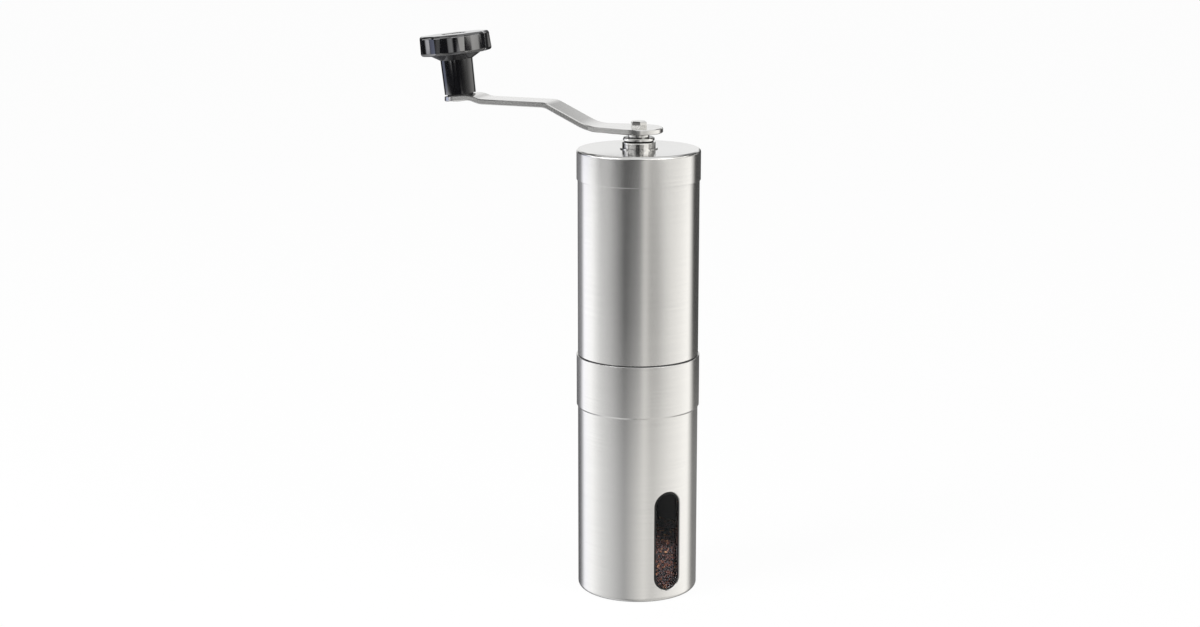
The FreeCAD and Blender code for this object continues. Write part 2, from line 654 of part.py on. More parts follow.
def make_shaft_rings():
    """Washers and spring clip on the shaft."""
    ring("thrust_washer", SHAFT_BORE_R, "(washer_d / 2)", HUB_TOP, f"({HUB_TOP} + washer_wall)")
    ring("spring_washer", SHAFT_BORE_R, "(washer_d / 2)", f"({HUB_LOW} - washer_wall)", HUB_LOW)
    body = ring("shaft_clip", f"({SHAFT_R} - clip_depth + fit_gap)", "(clip_d / 2)",
                CLIP_LOW, f"({CLIP_LOW} + clip_wall)")
    mouth = new_sketch(body, "XY_Plane", CLIP_LOW)
    draw_rectangle(mouth, "0", "clip_d", minus("clip_mouth / 2"), "(clip_mouth / 2)")
    pocket(body, mouth, both_ways=True)


def make_burr_spring():
    """Coil spring that keeps the inner burr down on the dial."""
    body = new_body("burr_spring")
    sketch = new_sketch(body, "XZ_Plane")
    draw_circle(sketch, "(wire_d / 2)", "(coil_d / 2)", f"({POCKET_FLOOR} + wire_d / 2)")
    coil = body.newObject("PartDesign::AdditiveHelix", "BurrSpringCoil")
    coil.Profile = sketch
    coil.ReferenceAxis = (sketch, ["V_Axis"])
    coil.Mode = 0
    coil.Angle = 0
    coil.setExpression("Pitch", bound("coil_pitch"))
    coil.setExpression("Height", bound(f"({HUB_LOW} - washer_wall - {POCKET_FLOOR} - wire_d)"))
    doc.recompute()


def make_inner_burr():
    """Ceramic cone with wide feed grooves above and fine teeth below, on a plastic core."""
    bore = "(core_d / 2 + fit_gap)"
    body = turned("inner_burr", [
        (bore, CONE_LOW), (CONE_LOW_R, CONE_LOW), (CONE_WAIST_R, WAIST),
        ("(cone_top_d / 2)", CONE_TOP), (bore, CONE_TOP),
    ])
    teeth = new_sketch(body, "XY_Plane", CONE_LOW)
    draw_rectangle(teeth, f"({CONE_LOW_R} - tooth_depth)", f"({CONE_LOW_R} + tooth_depth)",
                   minus("tooth_width / 2"), "(tooth_width / 2)")
    slant = vector(-number("burr_taper"), -TOOTH_SLANT, 1)
    around(body, pocket(body, teeth, "(taper_height + cone_below)", slant=slant), teeth, FINE_TOOTH_COUNT)
    feed = new_sketch(body, "XY_Plane", WAIST)
    draw_rectangle(feed, f"({CONE_WAIST_R} - feed_depth)", f"({CONE_WAIST_R} + feed_depth)",
                   minus("feed_width / 2"), "(feed_width / 2)")
    lean = number(f"({CONE_WAIST_R} - cone_top_d / 2) / ({CONE_TOP} - {WAIST})")
    slant = vector(-lean, -TOOTH_SLANT, 1)
    around(body, pocket(body, feed, slant=slant), feed, FEED_GROOVE_COUNT)
    core = turned("burr_core", [
        ("0", CONE_LOW), ("(core_d / 2)", CONE_LOW), ("(core_d / 2)", CORE_TOP),
        ("(pocket_d / 2)", CORE_TOP), ("(pocket_d / 2)", POCKET_FLOOR), ("0", POCKET_FLOOR),
    ])
    keyway = new_sketch(core, "XY_Plane", CONE_LOW)
    draw_hexagon(keyway, "(drive_af + 2 * running_gap)")
    pocket(core, keyway, both_ways=True)


def make_grind_dial():
    """Scalloped dial under the inner burr, with the brass nut that runs on the shaft's thread."""
    bore = "(thread_d / 2 + running_gap)"
    boss = "(nut_af / sqrt(3) + boss_wall)"
    body = turned("grind_dial", [
        (bore, DIAL_LOW), ("(dial_d / 2)", DIAL_LOW), ("(dial_d / 2)", DIAL_TOP),
        (boss, DIAL_TOP), (boss, CONE_LOW), (bore, CONE_LOW),
    ])
    round_rims(body, "dial_edge_r", ("(dial_d / 2)", DIAL_LOW), ("(dial_d / 2)", DIAL_TOP))
    scallop = new_sketch(body, "XY_Plane", DIAL_LOW)
    draw_circle(scallop, "scallop_r", "(dial_d / 2 - scallop_depth + scallop_r)")
    around(body, pocket(body, scallop, both_ways=True), scallop, DIAL_SCALLOP_COUNT)
    seat = new_sketch(body, "XY_Plane", CONE_LOW)
    draw_hexagon(seat, "nut_af")
    pocket(body, seat, f"({CONE_LOW} - {NUT_LOW})")
    nut = new_body("dial_nut")
    outline = new_sketch(nut, "XY_Plane", NUT_LOW)
    draw_hexagon(outline, "(nut_af - 2 * fit_gap)")
    draw_circle(outline, bore)
    pad(nut, outline, "nut_height")


def make_lid():
    """Steel lid, the bright bush in its middle, the ring that holds the bush and the plastic plug."""
    hole = "(tail_d / 2 + fit_gap)"
    body = turned("lid_shell", [
        (LID_BORE_R, LID_LOW), (LID_R, LID_LOW), (LID_R, LID_TOP), (hole, LID_TOP),
        (hole, LID_UNDER), (LID_BORE_R, LID_UNDER),
    ])
    round_rims(body, "lid_edge_r", (LID_R, LID_TOP))
    round_rims(body, "rim_r", (LID_R, LID_LOW))
    lip, barrel, groove, crown, tail = [f"({name}_d / 2)" for name in ("lip", "barrel", "groove", "crown", "tail")]
    lip_top = f"({LID_TOP} + lip_height)"
    tail_low = f"({LID_UNDER} - tail_height)"
    bush = turned("lid_bush", [
        (SHAFT_BORE_R, tail_low), (tail, tail_low), (tail, LID_TOP), (lip, LID_TOP), (lip, lip_top),
        (barrel, lip_top), (barrel, BARREL_TOP), (groove, BARREL_TOP), (groove, CROWN_LOW),
        (crown, CROWN_LOW), (crown, BUSH_TOP), (SHAFT_BORE_R, BUSH_TOP),
    ])
    round_rims(bush, "barrel_r", (barrel, BARREL_TOP), (crown, BUSH_TOP))
    ring("bush_ring", hole, "(tail_ring_d / 2)", f"({LID_UNDER} - tail_ring_wall)", LID_UNDER)
    plug = f"({NECK_BORE_R} - lid_clearance)"
    ring("lid_plug", f"({plug} - plug_wall)", plug, f"({LID_UNDER} - plug_height)", LID_UNDER)


def arm_profile():
    """Side view of the crank arm: corners of its upper face, and of its lower face one wall below."""
    level = "0 deg"
    slope = "atan(arm_rise / slope_run)"
    slopes = [level, slope, level, "atan(crest_rise / crest_run)", "(knob_lean * -1 deg)"]
    start = "(0 - arm_hub_d)"
    end = "(crank_radius + arm_width)"
    end_top = f"({PAD_TOP} - arm_width * tan(knob_lean))"
    upper = [
        (start, ARM_TOP), ("lower_bend", ARM_TOP), (UPPER_BEND, OUTER_TOP),
        (f"({CREST} - crest_run)", OUTER_TOP), (CREST, CREST_TOP), (end, end_top),
    ]
    before = slopes[:1] + slopes
    after = slopes + slopes[-1:]
    lower = []
    for (out, up), first, second in zip(upper, before, after):
        middle = f"(({first} + {second}) / 2)"
        bend = f"cos(({second} - {first}) / 2)"
        lower.append((f"({out} + arm_wall * sin({middle}) / {bend})", f"({up} - arm_wall * cos({middle}) / {bend})"))
    return upper, lower


def make_crank_arm():
    """Bent steel bar with a round end on the shaft's hexagon and a tilted pad for the knob."""
    body = new_body("crank_arm")
    upper, lower = arm_profile()
    side = new_sketch(body, "XZ_Plane")
    draw_outline(side, [(minus(out), up) for out, up in upper + lower[::-1]])
    pad(body, side, "arm_hub_d", midplane=True)
    round_bends(body, "lower_bend_r", [upper[1]])
    round_bends(body, "(lower_bend_r + arm_wall)", [lower[1]])
    round_bends(body, "upper_bend_r", [lower[2]])
    round_bends(body, "(upper_bend_r + arm_wall)", [upper[2]])
    round_bends(body, "crest_bend_r", [upper[3], lower[4]])
    round_bends(body, "(crest_bend_r + arm_wall)", [lower[3], upper[4]])
    plan = new_sketch(body, "XY_Plane")
    far = "(crank_radius + 2 * arm_width)"
    draw_rectangle(plan, minus(far), "(2 * arm_hub_d)", minus("arm_hub_d"), "arm_hub_d")
    draw_arm_plan(plan)
    draw_hexagon(plan, "(head_af + 2 * running_gap)")
    pocket(body, plan, both_ways=True)
    edge_radius = number("arm_hub_d") / 4

    def is_outline(edge):
        box = edge.BoundBox
        along = box.XLength > TOUCH and (box.XLength > box.ZLength / 4)
        return along and min(ends(edge)) > edge_radius

    bevel_where(body, "arm_edge", is_outline)
    hole = new_sketch(body, "XY_Plane")
    hole.AttachmentOffset = FreeCAD.Placement(vector(), FreeCAD.Rotation(vector(0, -1, 0), 1))
    hole.setExpression("AttachmentOffset.Rotation.Angle", bound("knob_lean * 1 deg"))
    hole.setExpression("AttachmentOffset.Base.x", bound(minus("crank_radius")))
    hole.setExpression("AttachmentOffset.Base.z", bound(PAD_TOP))
    draw_circle(hole, f"({PIN_R} + fit_gap)")
    pocket(body, hole, both_ways=True)


def round_bends(body, size, corners):
    """Rounds the bends of the arm that run across it at the given side-view corners."""
    places = [(-number(out), number(up)) for out, up in corners]

    def is_bend(edge):
        box = edge.BoundBox
        across = box.YLength > TOUCH and box.XLength < TOUCH and box.ZLength < TOUCH
        return across and any(math.hypot(box.XMin - x, box.ZMin - z) < TOUCH for x, z in places)

    round_where(body, size, is_bend)


def draw_arm_plan(sketch):
    """Plan of the crank arm: round hub, straight taper to the bar and a round far end."""
    hub_r, bar_r = number("arm_hub_d / 2"), number("arm_width / 2")
    neck, far = -number("lower_bend"), -number("crank_radius")
    up = vector(0, 0, 1)
    quarter = math.pi / 2
    hub_circle = Part.Circle(vector(), up, hub_r)
    end_circle = Part.Circle(vector(far, 0, 0), up, bar_r)
    edges = [
        Part.ArcOfCircle(hub_circle, -quarter, quarter),
        Part.LineSegment(vector(0, hub_r, 0), vector(neck, bar_r, 0)),
        Part.LineSegment(vector(neck, bar_r, 0), vector(far, bar_r, 0)),
        Part.ArcOfCircle(end_circle, quarter, 3 * quarter),
        Part.LineSegment(vector(far, -bar_r, 0), vector(neck, -bar_r, 0)),
        Part.LineSegment(vector(neck, -bar_r, 0), vector(0, -hub_r, 0)),
    ]
    hub, taper, bar, end, bar_back, taper_back = [sketch.addGeometry(edge, False) for edge in edges]
    rule = Sketcher.Constraint
    sketch.addConstraint([
        rule("Tangent", hub, 2, taper, 1), rule("Coincident", taper, 2, bar, 1),
        rule("Tangent", bar, 2, end, 1), rule("Tangent", end, 2, bar_back, 1),
        rule("Coincident", bar_back, 2, taper_back, 1), rule("Tangent", taper_back, 2, hub, 1),
        rule("Coincident", hub, 3, -1, 1), rule("PointOnObject", end, 3, -1),
        rule("Horizontal", bar), rule("Horizontal", bar_back), rule("Vertical", bar, 1, bar_back, 2),
    ])
    hold(sketch, "(arm_hub_d / 2)", "Radius", hub)
    hold(sketch, "(arm_width / 2)", "Radius", end)
    hold(sketch, "crank_radius", "DistanceX", end, 3, -1, 1)
    hold(sketch, "lower_bend", "DistanceX", bar, 1, -1, 1)


def make_knob_pin():
    """Riveted pin with its washer and push-on nut, square to the end pad."""
    head_low = minus("(arm_wall + pin_head_height)")
    pin = turned("knob_pin", [
        ("0", head_low), ("(pin_head_d / 2)", head_low), ("(pin_head_d / 2)", minus("arm_wall")),
        (PIN_R, minus("arm_wall")), (PIN_R, PIN_TOP), ("0", PIN_TOP),
    ])
    round_rims(pin, "pin_head_r", ("(pin_head_d / 2)", head_low))
    hole = f"({PIN_R} + fit_gap)"
    washer = ring("knob_washer", hole, "(foot_washer_d / 2)", "0", "foot_washer_wall")
    nut = ring("pin_nut", hole, "(pin_nut_d / 2)", PIN_NUT_LOW, f"({PIN_NUT_LOW} + pin_nut_wall)")
    for made in (pin, washer, nut):
        stand_on_pad(made)


def make_knob():
    """Fluted black knob that turns on the pin, with a plug in its top."""
    bore = f"({PIN_R} + running_gap)"
    well = "(cap_d / 2 + fit_gap)"
    head = "(knob_d / 2)"
    body = turned("knob_grip", [
        (bore, KNOB_FOOT), ("(stem_d / 2)", KNOB_FOOT), ("(stem_top_d / 2)", SKIRT_LOW),
        ("(skirt_d / 2)", UNDER_LOW), (head, HEAD_LOW), ("(knob_top_d / 2)", HEAD_TOP),
        (well, HEAD_TOP), (well, WELL_FLOOR), (bore, WELL_FLOOR),
    ])
    flute = new_sketch(body, "XY_Plane")
    middle = "(knob_d / 2 - flute_depth + flute_r)"
    draw_circle(flute, "flute_r", f"({middle} * cos(flute_turn))", f"({middle} * sin(flute_turn))")
    around(body, pocket(body, flute, both_ways=True), flute, KNOB_FLUTE_COUNT)
    inside = number(f"{head} - flute_depth")
    head_low, head_top = number(HEAD_LOW), number(HEAD_TOP)

    def is_head_edge(edge):
        box = edge.BoundBox
        at_rim = min(ends(edge)) > inside - TOUCH
        on_top = box.ZMin > head_top - TOUCH
        below = box.ZMax < head_low + TOUCH
        return at_rim and (on_top or below)

    round_where(body, "knob_edge_r", is_head_edge)
    cap = turned("knob_cap", [
        ("0", CAP_LOW), ("(cap_d / 2)", CAP_LOW), ("(cap_d / 2)", CAP_TOP), ("0", CAP_TOP),
    ])
    for made in (body, cap):
        stand_on_pad(made)


def write_pieces():
    """Checks every object of the document, then writes one file for each piece."""
    doc.recompute()
    failed = [item.Label for item in doc.Objects if {"Invalid", "Error"} & set(item.State)]
    if failed:
        raise RuntimeError(f"failed objects: {failed}")
    unsound = [made.Label for made in pieces if made.Shape.isNull() or not made.Shape.isValid()]
    if unsound:
        raise RuntimeError(f"unsound shapes: {unsound}")
    os.makedirs("parts", exist_ok=True)
    for made in pieces:
        made.Shape.exportStep(f"parts/{made.Label}.step")
        print(made.Label, len(made.Shape.Solids), round(made.Shape.Volume, 3))


make_chamber_shell()
make_chamber_liner()
make_window()
make_coffee_grounds()
make_hopper_tube()
make_burr_housing()
make_outer_burr()
make_bearings()
make_drive_shaft()
make_shaft_rings()
make_burr_spring()
make_inner_burr()
make_grind_dial()
make_lid()
make_crank_arm()
make_knob_pin()
make_knob()
write_pieces()
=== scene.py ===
"""Looks for the hand crank coffee grinder: its finishes, loose ground coffee and a white studio."""
import bpy
import math
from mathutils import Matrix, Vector


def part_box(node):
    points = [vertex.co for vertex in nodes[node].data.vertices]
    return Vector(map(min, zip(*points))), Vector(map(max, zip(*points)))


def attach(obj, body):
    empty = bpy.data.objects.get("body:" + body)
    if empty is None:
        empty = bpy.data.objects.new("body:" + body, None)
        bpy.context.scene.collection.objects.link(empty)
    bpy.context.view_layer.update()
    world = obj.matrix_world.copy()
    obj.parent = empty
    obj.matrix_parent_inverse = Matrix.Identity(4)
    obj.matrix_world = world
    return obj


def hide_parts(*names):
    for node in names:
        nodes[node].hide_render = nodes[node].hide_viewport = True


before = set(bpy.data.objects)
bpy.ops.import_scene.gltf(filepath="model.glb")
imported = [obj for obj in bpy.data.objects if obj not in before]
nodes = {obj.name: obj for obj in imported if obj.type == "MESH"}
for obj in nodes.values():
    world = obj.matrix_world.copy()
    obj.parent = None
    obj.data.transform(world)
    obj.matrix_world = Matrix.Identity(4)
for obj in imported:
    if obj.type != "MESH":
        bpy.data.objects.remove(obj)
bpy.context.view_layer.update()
bpy.ops.object.select_all(action="DESELECT")

# Camera, worked out from the ellipses of the lid, the joint and the base
CAMERA_PLACE = (0.2892, -0.7546, 0.2905)
CAMERA_TURN = math.radians(22.0)
CAMERA_PITCH = math.radians(12.7)
CAMERA_LENS = 65.1
SENSOR_WIDTH = 36.0

# Lamps, both turned to the middle of the grinder
LAMP_AIM = (0, 0, 0.12)
KEY_PLACE = (-0.55, -0.75, 0.75)
KEY_SIZE = (0.5, 0.7)
KEY_POWER = 9.0
FILL_PLACE = (0.85, -0.30, 0.60)
FILL_SIZE = (0.4, 0.6)
FILL_POWER = 4.0

# Floor and surroundings: how white they show, and how much they light the grinder
WHITE_LEVEL = 1.0
WORLD_LIGHT = 0.55
FLOOR_SIZE = 8.0
FLOOR_COLOUR = (0.9, 0.9, 0.9, 1.0)
FLOOR_ROUGHNESS = 0.8
FLOOR_WHITE_SHARE = 0.95

# Tints of the studio's panels
BLUE = (0.85, 0.92, 1.25)
COOL = (1.0, 1.0, 1.05)
PLAIN = (1.0, 1.0, 1.0)
WARM = (1.0, 0.985, 0.955)

# Studio wall round the grinder, seen only in reflections
WALL_RADIUS = 0.36
WALL_LOW = -0.45
WALL_TOP = 0.75
WALL_SIDES = 180
TOWARDS_CAMERA = CAMERA_TURN - math.radians(90)

# Each stop of a panel is a share of a turn, from behind the grinder round by its left, with a
# brightness and a tint. These stops are shared: the back panel, cut where the turn starts and
# ends, the narrow panels on the left and the broad one on the right.
BACK_START = [(0.000, 0.95, PLAIN), (0.060, 0.95, PLAIN), (0.090, 0.02, PLAIN)]
BACK_END = [(0.955, 0.06, PLAIN), (0.975, 0.95, PLAIN), (1.000, 0.95, PLAIN)]
LEFT_STRIPS = [
    (0.222, 0.50, BLUE), (0.228, 0.10, COOL), (0.236, 2.30, COOL),
    (0.268, 1.90, COOL), (0.280, 0.02, PLAIN), (0.305, 0.02, PLAIN),
]
RIGHT_BANK = [
    (0.500, 0.02, PLAIN), (0.530, 0.80, WARM), (0.600, 0.90, WARM),
    (0.800, 0.90, WARM), (0.845, 0.04, WARM),
]

# Sets of panels, from the bottom of the wall to its top
UNDER_PANELS = [
    (0.00, 0.40, COOL), (0.13, 0.40, COOL), (0.17, 0.90, PLAIN), (0.30, 0.75, PLAIN),
    (0.43, 0.30, PLAIN), (0.53, 0.65, WARM), (0.67, 0.70, WARM), (0.80, 0.95, WARM),
    (0.85, 0.35, WARM), (1.00, 0.40, PLAIN),
]
TABLE_PANELS = [
    (0.00, 0.12, COOL), (0.10, 0.15, COOL), (0.13, 0.45, COOL), (0.16, 1.30, COOL),
    (0.23, 1.30, PLAIN), (0.30, 0.92, PLAIN), (0.38, 0.66, PLAIN), (0.43, 0.48, PLAIN),
    (0.53, 0.98, WARM), (0.57, 0.78, WARM), (0.67, 1.05, WARM), (0.80, 1.35, WARM),
    (0.85, 0.26, WARM), (1.00, 0.25, PLAIN),
]
TUBE_PANELS = [
    (0.00, 0.07, COOL), (0.13, 0.34, COOL), (0.16, 1.40, COOL), (0.23, 1.35, PLAIN),
    (0.29, 0.78, PLAIN), (0.38, 0.36, PLAIN), (0.43, 0.08, PLAIN), (0.465, 0.20, PLAIN),
    (0.505, 0.32, PLAIN), (0.53, 0.80, WARM), (0.56, 0.46, WARM), (0.60, 0.48, WARM),
    (0.67, 0.92, WARM), (0.80, 1.40, WARM), (0.845, 0.06, WARM), (1.00, 0.12, PLAIN),
]
STEM_PANELS = BACK_START + [
    (0.155, 0.02, PLAIN), (0.168, 0.55, BLUE), (0.222, 0.55, BLUE), (0.232, 0.02, PLAIN),
] + RIGHT_BANK + BACK_END
KNOB_PANELS = BACK_START + [
    (0.155, 0.02, PLAIN), (0.168, 0.50, BLUE),
] + LEFT_STRIPS + [
    (0.320, 1.10, PLAIN), (0.360, 1.10, PLAIN), (0.375, 0.02, PLAIN),
] + RIGHT_BANK + BACK_END
HEAD_PANELS = BACK_START + [
    (0.185, 0.02, PLAIN), (0.195, 0.50, BLUE),
] + LEFT_STRIPS + [
    (0.320, 0.35, PLAIN), (0.345, 0.35, PLAIN), (0.360, 0.02, PLAIN), (0.390, 0.02, PLAIN),
    (0.405, 1.00, PLAIN), (0.440, 0.80, PLAIN), (0.450, 0.02, PLAIN), (0.550, 0.03, PLAIN),
    (0.620, 0.12, WARM), (0.700, 0.32, WARM), (0.800, 0.75, WARM), (0.865, 0.85, WARM),
    (0.895, 0.06, PLAIN),
] + BACK_END
FLUTE_PANELS = BACK_START + [
    (0.580, 0.02, PLAIN), (0.600, 1.60, WARM), (0.680, 1.80, WARM), (0.700, 0.02, PLAIN),
    (0.950, 0.02, PLAIN), (0.970, 0.95, PLAIN), (1.000, 0.95, PLAIN),
]
ABOVE_PANELS = [
    (0.00, 0.95, PLAIN), (0.07, 0.95, PLAIN), (0.12, 0.05, PLAIN), (0.18, 0.05, PLAIN),
    (0.20, 2.20, PLAIN), (0.395, 2.20, PLAIN), (0.41, 0.10, PLAIN), (0.51, 0.10, PLAIN),
    (0.53, 1.90, WARM), (0.77, 2.20, WARM), (0.80, 0.05, PLAIN), (0.88, 0.05, PLAIN),
    (0.93, 0.95, PLAIN), (1.00, 0.95, PLAIN),
]
OVERHEAD_PANELS = [
    (0.00, 0.30, PLAIN), (0.08, 0.08, PLAIN), (0.30, 0.10, PLAIN), (0.42, 1.20, PLAIN),
    (0.62, 1.20, PLAIN), (0.75, 0.08, PLAIN), (0.93, 0.30, PLAIN),
]
CEILING_PANELS = [
    (0.00, 0.85, PLAIN), (0.18, 0.85, PLAIN), (0.24, 0.10, PLAIN), (0.34, 0.10, PLAIN),
    (0.40, 0.90, PLAIN), (1.00, 0.85, PLAIN),
]

# Heights on the wall between which each set takes over from the one below it
TABLE_LOW = (-0.270, -0.210)
TUBE_LOW = (-0.050, 0.025)
STEM_LOW = (0.130, 0.138)
KNOB_LOW = (0.158, 0.164)
HEAD_LOW = (0.176, 0.182)
FLUTE_LOW = (0.218, 0.224)
ABOVE_LOW = (0.237, 0.242)
OVERHEAD_LOW = (0.300, 0.350)
CEILING_LOW = (0.480, 0.580)

# Sockets of a colour mix by their place, because several have the same name
MIX_FACTOR, MIX_BEFORE, MIX_AFTER = 0, 6, 7
MIX_COLOUR = 2

# Brushing lines and moulded grain: cells in a metre, and the values that most of a noise lies
# between
BRUSH_FINENESS = 7000.0
BRUSH_LENGTH = 40.0
BRUSH_PATCHES = 55.0
GRAIN_FINENESS = 4000.0
GRAIN_PATCHES = 90.0
NOISE_LOW = 0.3
NOISE_HIGH = 0.7

# How far up a face points where it starts to count as a top, and where it fully does
TOP_START = 0.5
TOP_FULL = 0.95

# Share of a turn that lays the gloss of brushed steel across its lines
ACROSS_LINES = 0.25

# Painted shade in the groove of the lid's bush: a radius a little outside its bottom, the share of
# that radius at which the painted shade ends, and the share of the colour left in the painted shade
GROOVE_RADIUS = 0.0056
GROOVE_EDGE = 1.04
GROOVE_PAINTED_SHADE = 0.03

# Clear pane
PANE_COLOUR = (0.90, 0.92, 0.96, 1.0)
PANE_INDEX = 1.18
PANE_ROUGHNESS = (0.0, 0.04)
PANE_WAVES = 160.0
PANE_WAVE_DEPTH = 0.000005

# Ground coffee: the heap, then the grains and lumps that break it up, then its bits and colours
HEAP_RISE = 0.003
HEAP_TIP_SHARE = 0.12
HEAP_SETTLE = 0.0006
HEAP_SIDES = 96
LEVEL_SLACK = 1e-6
GRAIN_MESH = 0.0003
GRAIN_SIZE = 0.0011
GRAIN_DEPTH = 0.0007
LUMP_SIZE = 0.004
LUMP_DEPTH = 0.0008
BIT_FINENESS = 1400.0
BIT_DEPTH = 0.00025
BIT_ROUGHNESS = (0.45, 0.8)
BROWNS = [
    (0.0, (0.004, 0.002, 0.002)), (0.50, (0.014, 0.004, 0.003)), (0.80, (0.070, 0.016, 0.009)),
    (0.95, (0.190, 0.060, 0.026)), (1.0, (0.420, 0.200, 0.090)),
]


def add(tree, kind, **settings):
    """A node of a material or group: properties by name, input values by the socket's name."""
    made = tree.nodes.new(kind)
    for name, value in settings.items():
        if hasattr(made, name):
            setattr(made, name, value)
        else:
            made.inputs[name.replace("_", " ")].default_value = value
    return made


def join(tree, source, out, target, into):
    """A link between two sockets, each given by its name or place."""
    tree.links.new(source.outputs[out], target.inputs[into])


def ramp(tree, stops):
    """A colour ramp with (position, colour) stops."""
    made = tree.nodes.new("ShaderNodeValToRGB")
    elements = made.color_ramp.elements
    while len(elements) < len(stops):
        elements.new(0.5)
    for element, (position, colour) in zip(elements, stops):
        element.position = position
        element.color = (*colour, 1.0)
    return made


def new_group(name, inputs, outputs):
    """An empty shader group with float inputs (name, value) and float outputs."""
    tree = bpy.data.node_groups.new(name, "ShaderNodeTree")
    for label, value in inputs:
        socket = tree.interface.new_socket(label, in_out="INPUT", socket_type="NodeSocketFloat")
        socket.default_value = value
    for label in outputs:
        tree.interface.new_socket(label, in_out="OUTPUT", socket_type="NodeSocketFloat")
    return tree, tree.nodes.new("NodeGroupInput"), tree.nodes.new("NodeGroupOutput")


def make_streaks():
    """Fine lines left by brushing round Z: slow along the lines, quick across them."""
    inputs = [("Fineness", BRUSH_FINENESS), ("Length", BRUSH_LENGTH)]
    tree, given, result = new_group("Brush streaks", inputs, ["Streak", "Patch"])
    place = add(tree, "ShaderNodeTexCoord")
    parts = add(tree, "ShaderNodeSeparateXYZ")
    join(tree, place, "Object", parts, "Vector")
    line_place = add(tree, "ShaderNodeCombineXYZ")
    for axis, factor in (("X", "Length"), ("Y", "Length"), ("Z", "Fineness")):
        times = add(tree, "ShaderNodeMath", operation="MULTIPLY")
        join(tree, parts, axis, times, 0)
        join(tree, given, factor, times, 1)
        join(tree, times, "Value", line_place, axis)
    lines = add(tree, "ShaderNodeTexNoise", Scale=1.0, Detail=3.0, Roughness=0.65)
    join(tree, line_place, "Vector", lines, "Vector")
    join(tree, lines, "Fac", result, "Streak")
    patches = add(tree, "ShaderNodeTexNoise", Scale=BRUSH_PATCHES, Detail=2.0, Roughness=0.5)
    join(tree, place, "Object", patches, "Vector")
    join(tree, patches, "Fac", result, "Patch")
    return tree


def make_grain():
    """Fine moulded or fired grain, with broad uneven patches."""
    inputs = [("Fineness", GRAIN_FINENESS), ("Patchiness", GRAIN_PATCHES)]
    tree, given, result = new_group("Fine grain", inputs, ["Grain", "Patch"])
    place = add(tree, "ShaderNodeTexCoord")
    for label, factor, detail in (("Grain", "Fineness", 4.0), ("Patch", "Patchiness", 2.0)):
        noise = add(tree, "ShaderNodeTexNoise", Detail=detail)
        join(tree, place, "Object", noise, "Vector")
        join(tree, given, factor, noise, "Scale")
        join(tree, noise, "Fac", result, label)
    return tree


STREAKS = make_streaks()
GRAIN = make_grain()


def new_material(name):
    """A material with one Principled shader."""
    material = bpy.data.materials.new(name)
    material.use_nodes = True
    tree = material.node_tree
    return material, tree, tree.nodes["Principled BSDF"]


def spread(tree, source, out, low, high):
    """A value of 0 to 1 spread between two others."""
    made = add(tree, "ShaderNodeMapRange", To_Min=low, To_Max=high)
    join(tree, source, out, made, "Value")
    return made


def uneven(tree, shader, source, out, dark, pale):
    """Base colour that wanders between two colours."""
    shades = ramp(tree, [(NOISE_LOW, dark), (NOISE_HIGH, pale)])
    join(tree, source, out, shades, "Fac")
    join(tree, shades, "Color", shader, "Base Color")


def raised(tree, shader, source, out, depth):
    """Bump of a real depth in metres."""
    bump = add(tree, "ShaderNodeBump", Strength=1.0, Distance=depth)
    join(tree, source, out, bump, "Height")
    join(tree, bump, "Normal", shader, "Normal")


def show_instead(tree, share, out, first, second):
    """A surface that shows a second shader in place of the first, by a share."""
    mixed = add(tree, "ShaderNodeMixShader")
    join(tree, share, out, mixed, 0)
    join(tree, first, 0, mixed, 1)
    join(tree, second, 0, mixed, 2)
    join(tree, mixed, "Shader", tree.nodes["Material Output"], "Surface")


def smoother_on_top(tree, roughness, share):
    """Roughness brought down to a share of itself where the surface faces up."""
    facing = add(tree, "ShaderNodeNewGeometry")
    parts = add(tree, "ShaderNodeSeparateXYZ")
    join(tree, facing, "Normal", parts, "Vector")
    level = add(
        tree, "ShaderNodeMapRange",
        From_Min=TOP_START, From_Max=TOP_FULL, To_Min=1.0, To_Max=share,
    )
    join(tree, parts, "Z", level, "Value")
    lowered = add(tree, "ShaderNodeMath", operation="MULTIPLY")
    join(tree, roughness, "Result", lowered, 0)
    join(tree, level, "Result", lowered, 1)
    return lowered


def steel(name, dark, pale, smooth, rough, brushed=0.0, depth=0.0, top_share=None):
    """Bare metal with brushing, turning or polishing lines round Z."""
    material, tree, shader = new_material(name)
    lines = add(tree, "ShaderNodeGroup", node_tree=STREAKS)
    shader.inputs["Metallic"].default_value = 1.0
    uneven(tree, shader, lines, "Streak", dark, pale)
    both = add(tree, "ShaderNodeMath", operation="ADD")
    join(tree, lines, "Streak", both, 0)
    join(tree, lines, "Patch", both, 1)
    roughness = add(tree, "ShaderNodeMapRange", From_Max=2.0, To_Min=smooth, To_Max=rough)
    join(tree, both, "Value", roughness, "Value")
    if top_share:
        lowered = smoother_on_top(tree, roughness, top_share)
        join(tree, lowered, "Value", shader, "Roughness")
    else:
        join(tree, roughness, "Result", shader, "Roughness")
    if depth:
        raised(tree, shader, lines, "Streak", depth)
    if brushed:
        shader.inputs["Anisotropic"].default_value = brushed
        shader.inputs["Anisotropic Rotation"].default_value = ACROSS_LINES
        tangent = add(tree, "ShaderNodeTangent", direction_type="RADIAL", axis="Z")
        join(tree, tangent, "Tangent", shader, "Tangent")
    return material


